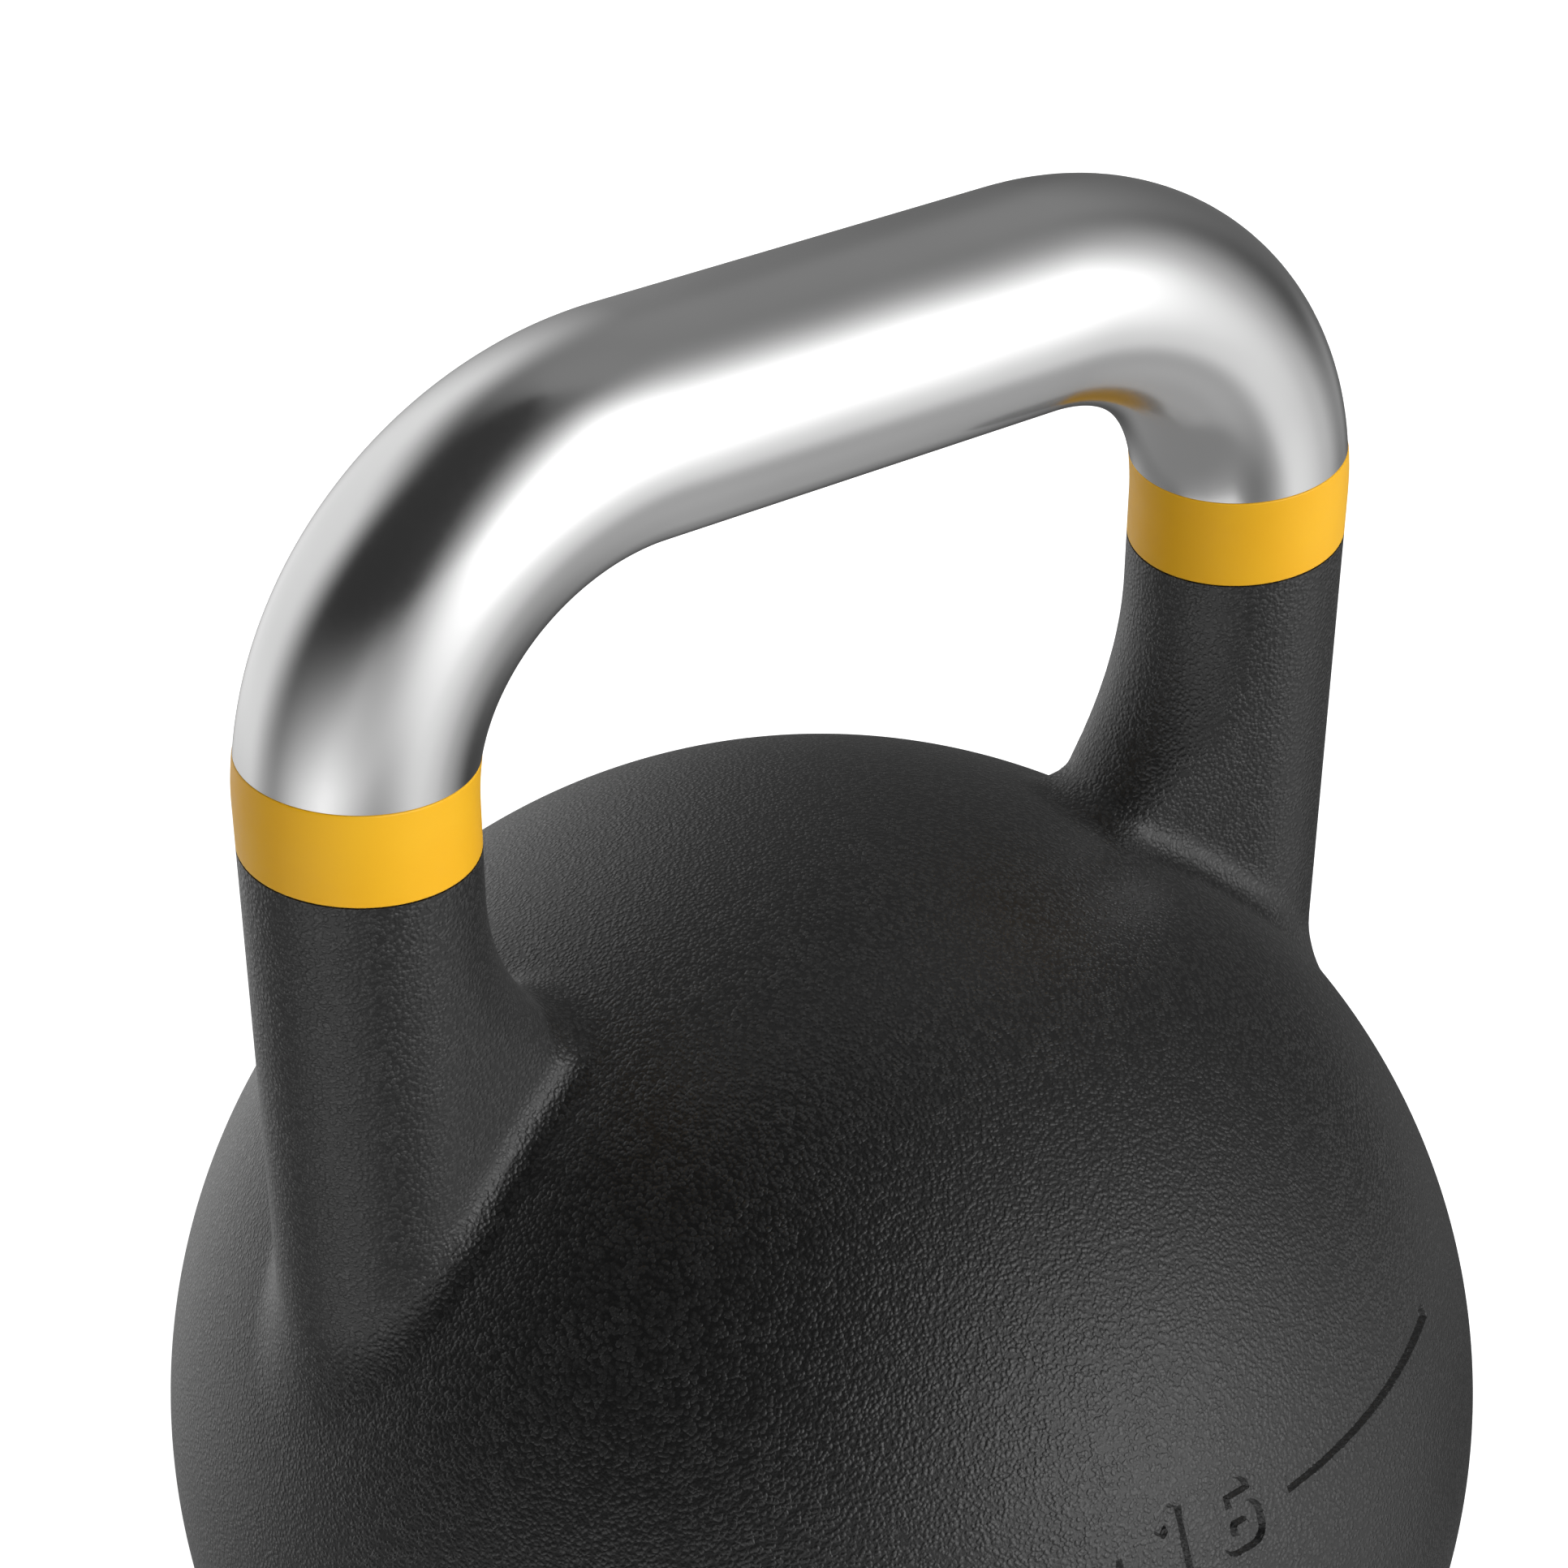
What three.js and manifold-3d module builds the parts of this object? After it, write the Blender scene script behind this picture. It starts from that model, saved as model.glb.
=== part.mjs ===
// Competition kettlebell with a polished steel handle.
//
// A hollow cast ball carries two horns. The bent handle bar has a neck and a spigot at each
// end. The spigots stand in sockets bored down into the horns, a weld ring joins each neck to
// its horn, and a coloured band covers each weld and shows the weight class. Ballast lies on
// the floor of the ball, which is filled through a threaded hole that a plug and a seal close.
//
// Millimetres, +Z up. The origin is the centre of the flat base. X runs along the handle.

import * as THREE from 'three';
import { mergeVertices } from 'three/addons/utils/BufferGeometryUtils.js';
import Module from 'manifold-3d';

// Ball
const BALL_RADIUS = 105;
const BALL_CENTRE_Z = 78;
const BALL_SIDES = 64;
const ARC_STEP = Math.PI / 34;

// Inside of the ball
const WALL = 10;
const FLOOR_THICKNESS = 12;
const CAVITY_SIDES = 40;

// Handle
const OVERALL_HEIGHT = 280;
const BAR_RADIUS = 16.5;
const HANDLE_WIDTH = 186;
const BEND_RADIUS = 44;
const BAR_SIDES = 28;
const BAR_STEPS = 48;

// Bands, necks, welds and spigots
const BAND_LOW_Z = 212.6;
const BAND_HEIGHT = 14.6;
const BAND_TILT = THREE.MathUtils.degToRad(4.4);
const BAND_RADIUS = 16.6;
const BAND_THICKNESS = 1.7;
const NECK_LOW_Z = 217.6;
const SPIGOT_RADIUS = 12;
const SPIGOT_LOW_Z = 175;
const GAP = 0.3;

// Horns. FLARE_TAPER is how fast the horn narrows towards the nose of its flare.
const HORN_RADIUS = 16.6;
const HORN_LOW_Z = 120;
const FLARE_TOP_Z = 203;
const FLARE_RADIUS = 45;
const FLARE_ANGLE = THREE.MathUtils.degToRad(50);
const FLARE_TAPER = 0.3;
const FLARE_STEPS = 12;

// How far a cutting tool runs past the face that it cuts, and the size of a tool that cuts all
const OVERRUN = 5;
const TOOL_SIZE = 400;

// Plug, seal and ballast
const BORE_RADIUS = 18.4;
const COUNTERBORE_RADIUS = 24.4;
const COUNTERBORE_DEPTH = 7;
const PLUG_RADIUS = 24;
const PLUG_SHANK_RADIUS = 18;
const PLUG_RECESS = 0.8;
const PLUG_FLANGE = 3.8;
const PLUG_SOCKET = 12;
const PLUG_SOCKET_DEPTH = 6;
const PLUG_SIDES = 36;
const BALLAST_TOP_Z = 40;
const BALLAST_CLEARANCE = 0.8;

// Weight mark sunk into the front of the ball
const MARK_LATITUDE = THREE.MathUtils.degToRad(24);
const MARK_DEPTH = 1;
const DIGIT_HEIGHT = 11;
const DIGIT_WIDTH = 7.5;
const DIGIT_SPACING = 11;
const STROKE = 2.4;
const BAR_MARK_START = THREE.MathUtils.degToRad(9);
const BAR_MARK_END = THREE.MathUtils.degToRad(36);
const BAR_MARK_PIECES = 5;
const BOWL_TOP = 1.3;
const FLAG = 2.2;

// Worked out from the above
const LEG_X = HANDLE_WIDTH / 2 - BAR_RADIUS;
const TOP_Z = OVERALL_HEIGHT - BAR_RADIUS;
const BEND_LOW_Z = TOP_Z - BEND_RADIUS;
const CAVITY_RADIUS = BALL_RADIUS - WALL;
const BAND_INNER = BAND_RADIUS - BAND_THICKNESS;
const NECK_RADIUS = BAND_INNER - GAP;

const steel = new THREE.MeshStandardMaterial({ color: 0xc9cbcd, roughness: 0.12, metalness: 1 });
const powderCoat = new THREE.MeshStandardMaterial({ color: 0x262729, roughness: 0.6, metalness: 0 });
const bandPaint = new THREE.MeshStandardMaterial({ color: 0xf2a51e, roughness: 0.4, metalness: 0 });
const weldMetal = new THREE.MeshStandardMaterial({ color: 0x8a8580, roughness: 0.55, metalness: 1 });
const ballastMix = new THREE.MeshStandardMaterial({ color: 0x6f6c68, roughness: 0.95, metalness: 0 });
const zincSteel = new THREE.MeshStandardMaterial({ color: 0x9fa3a6, roughness: 0.35, metalness: 1 });
const rubber = new THREE.MeshStandardMaterial({ color: 0x161616, roughness: 0.85, metalness: 0 });

const wasm = await Module();
wasm.setup();

function toSolid(geometry) {
  const bare = geometry.clone();
  bare.deleteAttribute('normal');
  bare.deleteAttribute('uv');
  const merged = mergeVertices(bare, 1e-4);
  return new wasm.Manifold(new wasm.Mesh({
    numProp: 3,
    vertProperties: new Float32Array(merged.attributes.position.array),
    triVerts: new Uint32Array(merged.index.array),
  }));
}

function toGeometry(solid) {
  const mesh = solid.getMesh();
  const geometry = new THREE.BufferGeometry();
  geometry.setAttribute('position', new THREE.BufferAttribute(mesh.vertProperties, 3));
  geometry.setIndex(new THREE.BufferAttribute(mesh.triVerts, 1));
  geometry.computeVertexNormals();
  return geometry;
}

function union(solids) {
  return solids.reduce((sum, solid) => sum.add(solid));
}

// Points on an arc about (0, centreZ), from one angle to another, both measured up from +X.
function arcPoints(radius, centreZ, from, to) {
  const count = Math.max(1, Math.ceil(Math.abs(to - from) / ARC_STEP));
  return Array.from({ length: count + 1 }, (_, i) => {
    const angle = from + ((to - from) * i) / count;
    const r = radius * Math.cos(angle);
    return new THREE.Vector2(Math.abs(r) < 1e-6 ? 0 : r, centreZ + radius * Math.sin(angle));
  });
}

// A solid turned about the Z axis. The profile runs upwards from axis to axis.
function turned(profile, sides) {
  const geometry = new THREE.LatheGeometry(profile, sides);
  geometry.rotateX(Math.PI / 2);
  return toSolid(geometry);
}

// A sphere cut flat at a height, as used for the ball, its cavity and the ballast.
function turnedBall(radius, floorZ, topAngle, sides) {
  const floorAngle = -Math.asin((BALL_CENTRE_Z - floorZ) / radius);
  const lower = arcPoints(radius, BALL_CENTRE_Z, floorAngle, Math.min(0, topAngle));
  const upper = topAngle > 0 ? arcPoints(radius, BALL_CENTRE_Z, 0, topAngle).slice(1) : [];
  const profile = [new THREE.Vector2(0, floorZ), ...lower, ...upper];
  const last = profile[profile.length - 1];
  if (last.x > 0) profile.push(new THREE.Vector2(0, last.y));
  return turned(profile, sides);
}

function cylinder(radius, lowZ, highZ, x, sides) {
  const geometry = new THREE.CylinderGeometry(radius, radius, highZ - lowZ, sides);
  geometry.rotateX(Math.PI / 2);
  geometry.translate(x, 0, (lowZ + highZ) / 2);
  return toSolid(geometry);
}

function circleShape(radius, sides) {
  const points = Array.from({ length: sides }, (_, i) => {
    const angle = (2 * Math.PI * i) / sides;
    return new THREE.Vector2(radius * Math.cos(angle), radius * Math.sin(angle));
  });
  return new THREE.Shape(points);
}

function tube(path, radius, sides, steps) {
  return toSolid(new THREE.ExtrudeGeometry(circleShape(radius, sides), {
    steps,
    extrudePath: path,
    bevelEnabled: false,
  }));
}

// A quarter bend of the handle, seen in the XZ plane, or part of one.
class BendCurve extends THREE.Curve {
  constructor(centreX, centreZ, radius, from, to) {
    super();
    Object.assign(this, { centreX, centreZ, radius, from, to });
  }

  getPoint(t, target = new THREE.Vector3()) {
    const angle = this.from + (this.to - this.from) * t;
    const x = this.centreX + this.radius * Math.cos(angle);
    return target.set(x, 0, this.centreZ + this.radius * Math.sin(angle));
  }
}

// The whole centreline, from the foot of the left leg over the top to the right one.
function handlePath(footZ) {
  const path = new THREE.CurvePath();
  const bendX = LEG_X - BEND_RADIUS;
  const leftFoot = new THREE.Vector3(-LEG_X, 0, footZ);
  const leftBend = new THREE.Vector3(-LEG_X, 0, BEND_LOW_Z);
  const rightBend = new THREE.Vector3(LEG_X, 0, BEND_LOW_Z);
  const rightFoot = new THREE.Vector3(LEG_X, 0, footZ);
  path.add(new THREE.LineCurve3(leftFoot, leftBend));
  path.add(new BendCurve(-bendX, BEND_LOW_Z, BEND_RADIUS, Math.PI, Math.PI / 2));
  path.add(new THREE.LineCurve3(
    new THREE.Vector3(-bendX, 0, TOP_Z),
    new THREE.Vector3(bendX, 0, TOP_Z),
  ));
  path.add(new BendCurve(bendX, BEND_LOW_Z, BEND_RADIUS, Math.PI / 2, 0));
  path.add(new THREE.LineCurve3(rightBend, rightFoot));
  return path;
}

// Everything above a plane through the leg at this height, which leans inwards with the leg.
function aboveBandPlane(side, z) {
  const box = new THREE.BoxGeometry(TOOL_SIZE, TOOL_SIZE, TOOL_SIZE);
  box.translate(0, 0, TOOL_SIZE / 2);
  box.rotateY(-side * BAND_TILT);
  box.translate(side * LEG_X, 0, z);
  return toSolid(box);
}

function makeHandleBar() {
  const footZ = BAND_LOW_Z - BAND_HEIGHT;
  const whole = tube(handlePath(footZ), BAR_RADIUS, BAR_SIDES, BAR_STEPS);
  const neck = tube(handlePath(NECK_LOW_Z + GAP), NECK_RADIUS, BAR_SIDES, BAR_STEPS);
  const bandTop = BAND_LOW_Z + BAND_HEIGHT;
  const visible = whole
    .intersect(aboveBandPlane(-1, bandTop))
    .intersect(aboveBandPlane(1, bandTop));
  const spigots = [-1, 1].map((side) => (
    cylinder(SPIGOT_RADIUS, SPIGOT_LOW_Z, BEND_LOW_Z, side * LEG_X, BAR_SIDES)
  ));
  return toGeometry(union([visible, neck, ...spigots]));
}

function makeBand(side) {
  const path = handlePath(BAND_LOW_Z - BAND_HEIGHT);
  const outer = tube(path, BAND_RADIUS, BAR_SIDES, BAR_STEPS);
  const inner = tube(path, BAND_INNER, BAR_SIDES, BAR_STEPS);
  const half = new THREE.BoxGeometry(TOOL_SIZE, TOOL_SIZE, 4 * BAND_HEIGHT);
  half.translate((side * TOOL_SIZE) / 2, 0, BAND_LOW_Z);
  const ring = outer.subtract(inner).intersect(toSolid(half));
  const low = aboveBandPlane(side, BAND_LOW_Z + GAP);
  const high = aboveBandPlane(side, BAND_LOW_Z + BAND_HEIGHT - GAP);
  return toGeometry(ring.intersect(low).subtract(high));
}

// The weld fills the groove between the horn's top and the end of the neck, round the spigot.
function makeWeldRing(side) {
  const x = side * LEG_X;
  const lowZ = BAND_LOW_Z - OVERRUN;
  const outer = cylinder(NECK_RADIUS, lowZ, NECK_LOW_Z, x, BAR_SIDES);
  const inner = cylinder(SPIGOT_RADIUS + GAP, lowZ - OVERRUN, NECK_LOW_Z + OVERRUN, x, BAR_SIDES);
  const ring = outer.subtract(inner).intersect(aboveBandPlane(side, BAND_LOW_Z + GAP));
  return toGeometry(ring);
}

// A horn's outline at a height: the post's circle, drawn out to a smaller nose circle where the
// horn flares towards the middle of the ball. X is measured from the centre of the ball.
function hornSection(z) {
  const reach = FLARE_RADIUS * Math.sin(FLARE_ANGLE);
  const drop = Math.min(Math.max(FLARE_TOP_Z - z, 0), reach);
  const spread = (FLARE_RADIUS - Math.sqrt(FLARE_RADIUS ** 2 - drop ** 2)) / (1 - FLARE_TAPER);
  return Array.from({ length: BAR_SIDES }, (_, i) => {
    const angle = (2 * Math.PI * i) / BAR_SIDES;
    const inward = Math.cos(angle);
    const onNose = inward > FLARE_TAPER;
    const centreX = onNose ? LEG_X - spread : LEG_X;
    const radius = onNose ? HORN_RADIUS - FLARE_TAPER * spread : HORN_RADIUS;
    return [centreX - radius * inward, -radius * Math.sin(angle), z];
  });
}

// A solid through outlines that all have the same number of points, from the lowest up.
function loft(sections) {
  const sides = sections[0].length;
  const top = (sections.length - 1) * sides;
  const index = [];
  for (let level = 0; level < sections.length - 1; level += 1) {
    for (let i = 0; i < sides; i += 1) {
      const a = level * sides + i;
      const b = level * sides + ((i + 1) % sides);
      index.push(a, b, b + sides, a, b + sides, a + sides);
    }
  }
  for (let i = 1; i < sides - 1; i += 1) {
    index.push(0, i + 1, i, top, top + i, top + i + 1);
  }
  const geometry = new THREE.BufferGeometry();
  geometry.setAttribute('position', new THREE.Float32BufferAttribute(sections.flat(2), 3));
  geometry.setIndex(index);
  return geometry;
}

// A horn is an upright post whose inner side flares along an arc towards the ball.
function makeHorn(side) {
  const levels = [HORN_LOW_Z];
  for (let i = FLARE_STEPS; i >= 0; i -= 1) {
    levels.push(FLARE_TOP_Z - FLARE_RADIUS * Math.sin((FLARE_ANGLE * i) / FLARE_STEPS));
  }
  levels.push(BAND_LOW_Z + OVERRUN);
  const horn = loft(levels.map(hornSection));
  if (side < 0) horn.rotateZ(Math.PI);
  return toSolid(horn).subtract(aboveBandPlane(side, BAND_LOW_Z));
}

// The digit 1, centred on the origin of its own XY plane.
function digitOne() {
  const half = DIGIT_HEIGHT / 2;
  const stem = STROKE / 2;
  return new THREE.Shape([
    new THREE.Vector2(-stem, -half),
    new THREE.Vector2(stem, -half),
    new THREE.Vector2(stem, half),
    new THREE.Vector2(-stem, half),
    new THREE.Vector2(-stem - FLAG, half - FLAG),
    new THREE.Vector2(-stem - FLAG, half - FLAG - STROKE),
    new THREE.Vector2(-stem, half - STROKE),
  ]);
}

function roundedRectangle(path, left, low, right, high, corner) {
  path.moveTo(right, high - corner);
  path.absarc(right - corner, high - corner, corner, 0, Math.PI / 2);
  path.absarc(left + corner, high - corner, corner, Math.PI / 2, Math.PI);
  path.absarc(left + corner, low + corner, corner, Math.PI, 1.5 * Math.PI);
  path.absarc(right - corner, low + corner, corner, 1.5 * Math.PI, 2 * Math.PI);
  path.closePath();
  return path;
}

// The digit 6: a ring for the bowl, and an arm that rises from its left side and turns right.
function digitSix() {
  const right = DIGIT_WIDTH / 2;
  const top = DIGIT_HEIGHT / 2;
  const bowl = roundedRectangle(new THREE.Shape(), -right, -top, right, BOWL_TOP, STROKE);
  const eye = roundedRectangle(
    new THREE.Path(), STROKE - right, STROKE - top, right - STROKE, BOWL_TOP - STROKE, STROKE / 4,
  );
  bowl.holes.push(eye);
  const arm = new THREE.Shape();
  arm.moveTo(-right, BOWL_TOP - STROKE);
  arm.lineTo(STROKE - right, BOWL_TOP - STROKE);
  arm.lineTo(STROKE - right, top - STROKE);
  arm.lineTo(right - STROKE / 2, top - STROKE);
  arm.lineTo(right - STROKE / 2, top);
  arm.lineTo(STROKE - right, top);
  arm.absarc(STROKE - right, top - STROKE, STROKE, Math.PI / 2, Math.PI);
  arm.closePath();
  return [bowl, arm];
}

// A cutter that stands on the ball's surface at a longitude, counted from the front.
function markCutter(shape, longitude) {
  const geometry = new THREE.ExtrudeGeometry(shape, {
    depth: 2 * OVERRUN,
    curveSegments: 3,
    bevelEnabled: false,
  });
  geometry.translate(0, 0, BALL_RADIUS - OVERRUN);
  geometry.rotateX(Math.PI / 2 - MARK_LATITUDE);
  geometry.rotateZ(longitude);
  geometry.translate(0, 0, BALL_CENTRE_Z);
  return toSolid(geometry);
}

// The weight mark: the number between two bars, all sunk to one depth.
function makeWeightMark() {
  const circle = BALL_RADIUS * Math.cos(MARK_LATITUDE);
  const digitTurn = DIGIT_SPACING / 2 / circle;
  const cutters = [markCutter(digitOne(), -digitTurn)];
  cutters.push(...digitSix().map((shape) => markCutter(shape, digitTurn)));
  const pieceTurn = (BAR_MARK_END - BAR_MARK_START) / BAR_MARK_PIECES;
  const pieceHalf = circle * Math.tan(pieceTurn / 2);
  const piece = new THREE.Shape([
    new THREE.Vector2(-pieceHalf, -STROKE / 2),
    new THREE.Vector2(pieceHalf, -STROKE / 2),
    new THREE.Vector2(pieceHalf, STROKE / 2),
    new THREE.Vector2(-pieceHalf, STROKE / 2),
  ]);
  for (const side of [-1, 1]) {
    for (let i = 0; i < BAR_MARK_PIECES; i += 1) {
      const turn = BAR_MARK_START + (i + 0.5) * pieceTurn;
      cutters.push(markCutter(piece, side * turn));
    }
  }
  const core = turnedBall(BALL_RADIUS - MARK_DEPTH, 0, Math.PI / 2, BALL_SIDES);
  return union(cutters).subtract(core);
}

function makeBallCasting() {
  const ball = turnedBall(BALL_RADIUS, 0, Math.PI / 2, BALL_SIDES);
  const cavity = turnedBall(CAVITY_RADIUS, FLOOR_THICKNESS, Math.PI / 2, CAVITY_SIDES);
  const bore = cylinder(BORE_RADIUS, -OVERRUN, FLOOR_THICKNESS + OVERRUN, 0, PLUG_SIDES);
  const counterbore = cylinder(COUNTERBORE_RADIUS, -OVERRUN, COUNTERBORE_DEPTH, 0, PLUG_SIDES);
  const sockets = [-1, 1].map((side) => (
    cylinder(SPIGOT_RADIUS + GAP, SPIGOT_LOW_Z - GAP, BEND_LOW_Z, side * LEG_X, BAR_SIDES)
  ));
  const outside = union([ball, makeHorn(-1), makeHorn(1)]);
  const inside = union([cavity, bore, counterbore, ...sockets, makeWeightMark()]);
  return toGeometry(outside.subtract(inside));
}

function makeBallastFill() {
  const radius = CAVITY_RADIUS - BALLAST_CLEARANCE;
  const topAngle = -Math.asin((BALL_CENTRE_Z - BALLAST_TOP_Z) / radius);
  return toGeometry(turnedBall(radius, FLOOR_THICKNESS + GAP, topAngle, CAVITY_SIDES));
}

function makeBasePlug() {
  const flangeTop = PLUG_RECESS + PLUG_FLANGE;
  const flange = cylinder(PLUG_RADIUS, PLUG_RECESS, flangeTop, 0, PLUG_SIDES);
  const shank = cylinder(PLUG_SHANK_RADIUS, PLUG_RECESS, FLOOR_THICKNESS, 0, PLUG_SIDES);
  const hexRadius = PLUG_SOCKET / Math.sqrt(3);
  const hexSocket = cylinder(hexRadius, -OVERRUN, PLUG_RECESS + PLUG_SOCKET_DEPTH, 0, 6);
  return toGeometry(flange.add(shank).subtract(hexSocket));
}

function makePlugSeal() {
  const low = PLUG_RECESS + PLUG_FLANGE + GAP;
  const high = COUNTERBORE_DEPTH - GAP;
  const outer = cylinder(PLUG_RADIUS, low, high, 0, PLUG_SIDES);
  const inner = cylinder(PLUG_SHANK_RADIUS + GAP, low - OVERRUN, high + OVERRUN, 0, PLUG_SIDES);
  return toGeometry(outer.subtract(inner));
}

const group = new THREE.Group();

function addPart(name, geometry, material) {
  const mesh = new THREE.Mesh(geometry, material);
  mesh.name = name;
  group.add(mesh);
}

addPart('ball_casting', makeBallCasting(), powderCoat);
addPart('handle_bar', makeHandleBar(), steel);
addPart('band_left', makeBand(-1), bandPaint);
addPart('band_right', makeBand(1), bandPaint);
addPart('weld_ring_left', makeWeldRing(-1), weldMetal);
addPart('weld_ring_right', makeWeldRing(1), weldMetal);
addPart('ballast_fill', makeBallastFill(), ballastMix);
addPart('base_plug', makeBasePlug(), zincSteel);
addPart('plug_seal', makePlugSeal(), rubber);

export default group;
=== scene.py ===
import math

import bmesh
import bpy
import numpy as np
from mathutils import Matrix, Vector


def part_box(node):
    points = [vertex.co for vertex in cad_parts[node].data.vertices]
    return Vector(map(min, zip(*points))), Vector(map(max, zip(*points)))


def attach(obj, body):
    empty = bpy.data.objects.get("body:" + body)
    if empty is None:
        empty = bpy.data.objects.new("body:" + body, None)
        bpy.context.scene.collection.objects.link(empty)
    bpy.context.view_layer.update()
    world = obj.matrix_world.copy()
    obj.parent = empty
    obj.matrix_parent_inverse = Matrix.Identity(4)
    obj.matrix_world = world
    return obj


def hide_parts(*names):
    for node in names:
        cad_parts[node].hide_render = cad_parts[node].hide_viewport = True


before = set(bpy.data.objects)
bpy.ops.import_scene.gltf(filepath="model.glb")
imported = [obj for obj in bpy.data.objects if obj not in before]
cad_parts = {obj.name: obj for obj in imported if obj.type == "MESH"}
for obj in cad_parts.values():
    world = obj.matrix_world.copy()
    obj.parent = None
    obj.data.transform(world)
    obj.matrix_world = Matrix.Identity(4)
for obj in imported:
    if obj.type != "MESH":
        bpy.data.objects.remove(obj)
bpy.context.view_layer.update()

MM = 0.001

# ---------------------------------------------------------------- sizes, in metres
# What the frame gives is read from it. The rest repeats the CAD's values or refines its shapes.
BALL_LOW, BALL_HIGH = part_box("ball_casting")
BAR_LOW, BAR_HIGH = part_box("handle_bar")
SPIGOT_LOW_Z = BAR_LOW.z
BALL_R = (BALL_HIGH.x - BALL_LOW.x) / 2
BALL_CENTRE = Vector((0, 0, 78 * MM))
BAR_R = (BAR_HIGH.y - BAR_LOW.y) / 2
BAR_TOP_Z = BAR_HIGH.z - BAR_R
BEND_R = 44 * MM
LEG_X = 76.5 * MM
BEND_X = LEG_X - BEND_R
BEND_LOW_Z = BAR_TOP_Z - BEND_R

# Bands: two planes through each leg, which lean inwards with it
BAND_LOW_Z = 212.6 * MM
BAND_HIGH_Z = 227.2 * MM
BAND_TILT = math.radians(4.4)
BAND_R = 16.6 * MM
BAND_INNER_R = 14.9 * MM
NECK_R = 14.6 * MM
NECK_LOW_Z = 217.9 * MM
SPIGOT_R = 12 * MM
JOINT_GAP = 0.12 * MM
BAR_EASE = 0.3 * MM
BAND_EASE = 0.25 * MM
EASE_MIDDLE = 0.3  # where the middle point of an eased edge lies, as a share of its width
BAR_CHAMFER = 1.2 * MM

# Horns: a post whose section is drawn out to a smaller nose where it flares towards the ball
HORN_R = 16.6 * MM
FLARE_TOP_Z = 203 * MM
FLARE_R = 45 * MM
FLARE_ANGLE = math.radians(50)
FLARE_TAPER = 0.3
HORN_FILLET = 4.5 * MM
NOSE_FILLET = 6 * MM
BASE_EDGE = 2.5 * MM
HORN_STUB_Z = 224 * MM

# Inside of the ball, its filling hole, and the plug that closes it
CAVITY_R = 95 * MM
CAVITY_TOP = math.radians(88)
FLOOR_THICKNESS = 12 * MM
SOCKET_R = 12.3 * MM
CLEARANCE = 0.3 * MM
BORE_R = 18.4 * MM
COUNTERBORE_R = 24.4 * MM
COUNTERBORE_DEPTH = 7 * MM
EDGE = 0.7 * MM
PLUG_LOW, PLUG_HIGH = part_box("base_plug")
PLUG_R = (PLUG_HIGH.x - PLUG_LOW.x) / 2
SHANK_R = 18 * MM
FLANGE = 3.8 * MM
HEX_R = 12 / math.sqrt(3) * MM
HEX_DEPTH = 6 * MM
THREAD_PITCH = 1.5 * MM
THREAD_DEPTH = 0.5 * MM
SEAL_LOW, SEAL_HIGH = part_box("plug_seal")

# Weight mark
MARK_LATITUDE = math.radians(24)
MARK_DEPTH = 1.1 * MM
MARK_WALL = 0.4 * MM
DIGIT_HEIGHT = 11 * MM
DIGIT_WIDTH = 7.5 * MM
DIGIT_SPACING = 11 * MM
STROKE = 2.4 * MM
MARK_BAR_START = math.radians(9)
MARK_BAR_END = math.radians(36)
DIAGONAL = math.sqrt(0.5)

# Mesh fineness, and the angles from which an edge is shaded sharp
COARSE_VOXEL = 3.0 * MM
FINE_VOXEL = 1.5 * MM
MARK_CUTS = 8
RING = 96
CASTING_CREASE = math.radians(50)
PLUG_CREASE = math.radians(30)
BAR_CREASE = math.radians(18)

# Camera and floor
CAMERA_AIM = Vector((24.9, 47.4, 158.8)) * MM
CAMERA_AZIMUTH = math.radians(-34.16)
CAMERA_ELEVATION = math.radians(33.36)
CAMERA_DISTANCE = 629.65 * MM
CAMERA_LENS = 88.4
SENSOR_WIDTH = 36
FLOOR_SIZE = 6
FLOOR_TONE = 0.9

# The middle range of a noise texture's values
NOISE_LOW, NOISE_HIGH = 0.3, 0.7


# ---------------------------------------------------------------- node material helpers
def new_material(name):
    material = bpy.data.materials.new(name)
    material.use_nodes = True
    tree = material.node_tree
    shader = tree.nodes["Principled BSDF"]
    return material, tree, shader


def grey(level):
    return (level, level, level)


def node(tree, kind, **settings):
    made = tree.nodes.new(kind)
    for key, value in settings.items():
        setattr(made, key, value)
    return made


def link(tree, source, target):
    tree.links.new(source, target)


def math_node(tree, operation, a, b=None):
    made = node(tree, "ShaderNodeMath", operation=operation)
    for socket, value in zip(made.inputs, (a, b)):
        if value is None:
            continue
        if isinstance(value, (int, float)):
            socket.default_value = value
        else:
            link(tree, value, socket)
    return made.outputs[0]


def map_range(tree, value, low, high, to_low, to_high, smooth=False):
    made = node(tree, "ShaderNodeMapRange")
    if smooth:
        made.interpolation_type = "SMOOTHSTEP"
    link(tree, value, made.inputs["Value"])
    made.inputs["From Min"].default_value = low
    made.inputs["From Max"].default_value = high
    made.inputs["To Min"].default_value = to_low
    made.inputs["To Max"].default_value = to_high
    return made.outputs["Result"]


def noise(tree, vector, scale, detail=2.0, roughness=0.5):
    made = node(tree, "ShaderNodeTexNoise")
    made.inputs["Scale"].default_value = scale
    made.inputs["Detail"].default_value = detail
    made.inputs["Roughness"].default_value = roughness
    link(tree, vector, made.inputs["Vector"])
    return made


def from_noise(tree, texture, low, high):
    """A number that runs from low to high with the noise."""
    return map_range(tree, texture.outputs["Fac"], NOISE_LOW, NOISE_HIGH, low, high)


def object_coordinates(tree):
    return node(tree, "ShaderNodeTexCoord").outputs["Object"]


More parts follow.
